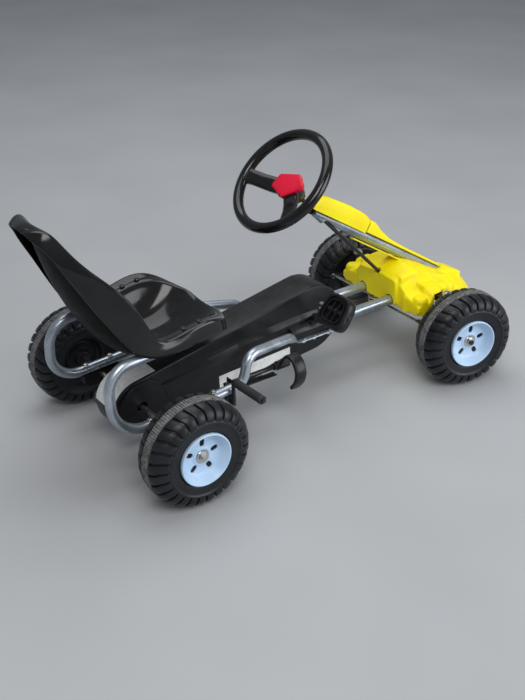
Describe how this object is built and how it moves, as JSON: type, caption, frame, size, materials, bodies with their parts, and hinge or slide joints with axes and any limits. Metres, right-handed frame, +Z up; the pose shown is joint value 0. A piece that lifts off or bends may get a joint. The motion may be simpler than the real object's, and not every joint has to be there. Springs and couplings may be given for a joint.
{
  "type": "pedal go kart",
  "caption": "Child's pedal go kart with a glossy black bucket seat, silver tube frame, chain drive in a black case, steered front wheels and a yellow nose.",
  "frame": {"origin": "On the floor, below the middle of the kart's length and width.", "axes": "+X points to the nose, +Y to the rider's left, +Z up. Metres."},
  "size_m": [1.219, 0.5886, 0.6111],
  "materials": {
    "silver_paint": "smooth silver-blue powder coat with light scuffs",
    "black_paint": "satin black powder coat",
    "zinc_steel": "bright zinc plate, a little dull",
    "yellow_plastic": "bright lemon-yellow moulding, semi-gloss, faint scratches",
    "gloss_black_plastic": "glossy black moulding with fine handling scratches",
    "satin_black_plastic": "satin black moulding",
    "wheel_plastic": "blow-moulded black wheel with shoulder lugs",
    "tread_rubber": "grey-worn rubber running band",
    "hub_plastic": "pale blue-white dished hub disc",
    "red_plastic": "semi-gloss red",
    "grip_rubber": "ribbed black sleeve"
  },
  "bodies": {
    "frame": {"left_main_rail": "silver_paint", "right_main_rail": "silver_paint", "left_side_tube": "silver_paint", "right_side_tube": "silver_paint", "front_axle_beam": "black_paint", "column_support_tube": "silver_paint", "column_head_bush": "satin_black_plastic", "rear_rail_bridge": "black_paint", "left_crank_bearing": "satin_black_plastic", "right_crank_bearing": "satin_black_plastic", "left_axle_bearing": "satin_black_plastic", "right_axle_bearing": "satin_black_plastic", "drive_chain": "zinc_steel", "chain_case_upper": "satin_black_plastic", "chain_case_lower": "satin_black_plastic", "seat_shell": "gloss_black_plastic", "left_back_seat_bolt": "zinc_steel", "left_front_seat_bolt": "zinc_steel", "right_back_seat_bolt": "zinc_steel", "right_front_seat_bolt": "zinc_steel", "nose_fairing": "yellow_plastic", "column_cover_upper": "yellow_plastic", "column_cover_lower": "yellow_plastic", "left_kingpin": "zinc_steel", "right_kingpin": "zinc_steel", "brake_bracket": "black_paint", "shift_strap": "black_paint"},
    "steering": {"steering_wheel": "satin_black_plastic", "steering_wheel_badge": "red_plastic", "steering_column": "black_paint"},
    "left_stub": {"left_knuckle": "black_paint", "front_left_axle_nut": "zinc_steel"},
    "right_stub": {"right_knuckle": "black_paint", "front_right_axle_nut": "zinc_steel"},
    "left_link": {"left_tie_rod": "zinc_steel"},
    "right_link": {"right_tie_rod": "zinc_steel"},
    "front_left": {"front_left_wheel": "wheel_plastic", "front_left_tread_band": "tread_rubber", "front_left_hub_disc": "hub_plastic"},
    "front_right": {"front_right_wheel": "wheel_plastic", "front_right_tread_band": "tread_rubber", "front_right_hub_disc": "hub_plastic"},
    "driven_axle": {"rear_axle": "zinc_steel", "rear_sprocket": "zinc_steel", "rear_left_wheel": "wheel_plastic", "rear_left_tread_band": "tread_rubber", "rear_left_hub_disc": "hub_plastic", "rear_left_axle_nut": "zinc_steel", "rear_right_axle_nut": "zinc_steel"},
    "rear_right": {"rear_right_wheel": "wheel_plastic", "rear_right_tread_band": "tread_rubber", "rear_right_hub_disc": "hub_plastic"},
    "crank_set": {"crank": "zinc_steel", "front_sprocket": "zinc_steel"},
    "left_foot": {"left_pedal": "satin_black_plastic"},
    "right_foot": {"right_pedal": "satin_black_plastic"},
    "brake": {"brake_lever": "black_paint", "brake_lever_grip": "grip_rubber"},
    "shift": {"shift_rod": "zinc_steel", "shift_handle": "satin_black_plastic"}
  },
  "joints": [
    {"name": "steering_turn", "type": "hinge", "parent": "frame", "child": "steering", "pos_m": [0.0069, 0, 0.5165], "axis": [0.7108, 0, -0.7034], "range_deg": [-44.5, 15.5]},
    {"name": "left_stub_turn", "type": "hinge", "parent": "frame", "child": "left_stub", "pos_m": [0.3776, 0.1617, 0.1155], "axis": [0, 0, -1], "range_deg": [-38.27, 13.33]},
    {"name": "right_stub_turn", "type": "hinge", "parent": "frame", "child": "right_stub", "pos_m": [0.3776, -0.1617, 0.1155], "axis": [0, 0, -1], "range_deg": [-38.27, 13.33]},
    {"name": "left_link_turn", "type": "hinge", "parent": "left_stub", "child": "left_link", "pos_m": [0.30915, 0.17684, 0.1443], "axis": [0, 0, -1], "range_deg": [-13.33, 38.27]},
    {"name": "right_link_turn", "type": "hinge", "parent": "right_stub", "child": "right_link", "pos_m": [0.30915, -0.14656, 0.1443], "axis": [0, 0, -1], "range_deg": [-13.33, 38.27]},
    {"name": "front_left_spin", "type": "hinge", "parent": "left_stub", "child": "front_left", "pos_m": [0.3899, 0.15898, 0.1155], "axis": [0.2159, 0.9764, 0], "continuous": true},
    {"name": "front_right_spin", "type": "hinge", "parent": "right_stub", "child": "front_right", "pos_m": [0.3899, -0.16442, 0.1155], "axis": [0.2159, 0.9764, 0], "continuous": true},
    {"name": "axle_spin", "type": "hinge", "parent": "frame", "child": "driven_axle", "pos_m": [-0.3945, 0, 0.1155], "axis": [0, 1, 0], "continuous": true},
    {"name": "rear_right_spin", "type": "hinge", "parent": "driven_axle", "child": "rear_right", "pos_m": [-0.3945, -0.2469, 0.1155], "axis": [0, 1, 0], "continuous": true},
    {"name": "crank_spin", "type": "hinge", "parent": "frame", "child": "crank_set", "pos_m": [0.0675, 0, 0.1865], "axis": [0, 1, 0], "continuous": true},
    {"name": "left_pedal_spin", "type": "hinge", "parent": "crank_set", "child": "left_foot", "pos_m": [0.08533, 0.146, 0.12817], "axis": [0, 1, 0], "continuous": true},
    {"name": "right_pedal_spin", "type": "hinge", "parent": "crank_set", "child": "right_foot", "pos_m": [0.04967, -0.146, 0.24483], "axis": [0, 1, 0], "continuous": true},
    {"name": "brake_pull", "type": "hinge", "parent": "frame", "child": "brake", "pos_m": [-0.2375, -0.158, 0.118], "axis": [0, -1, 0], "range_deg": [0, 42], "stiffness_Nm_per_rad": 0.15, "springref_deg": -20.05},
    {"name": "shift_turn", "type": "hinge", "parent": "frame", "child": "shift", "pos_m": [-0.1645, -0.119, 0.147], "axis": [1, 0, 0], "range_deg": [0, 35]}
  ],
  "couplings": [
    {"joint": "left_stub_turn", "follows": "steering_turn", "ratio": 0.86},
    {"joint": "right_stub_turn", "follows": "steering_turn", "ratio": 0.86},
    {"joint": "left_link_turn", "follows": "steering_turn", "ratio": -0.86},
    {"joint": "right_link_turn", "follows": "steering_turn", "ratio": -0.86},
    {"joint": "crank_spin", "follows": "axle_spin", "ratio": 0.66667}
  ]
}
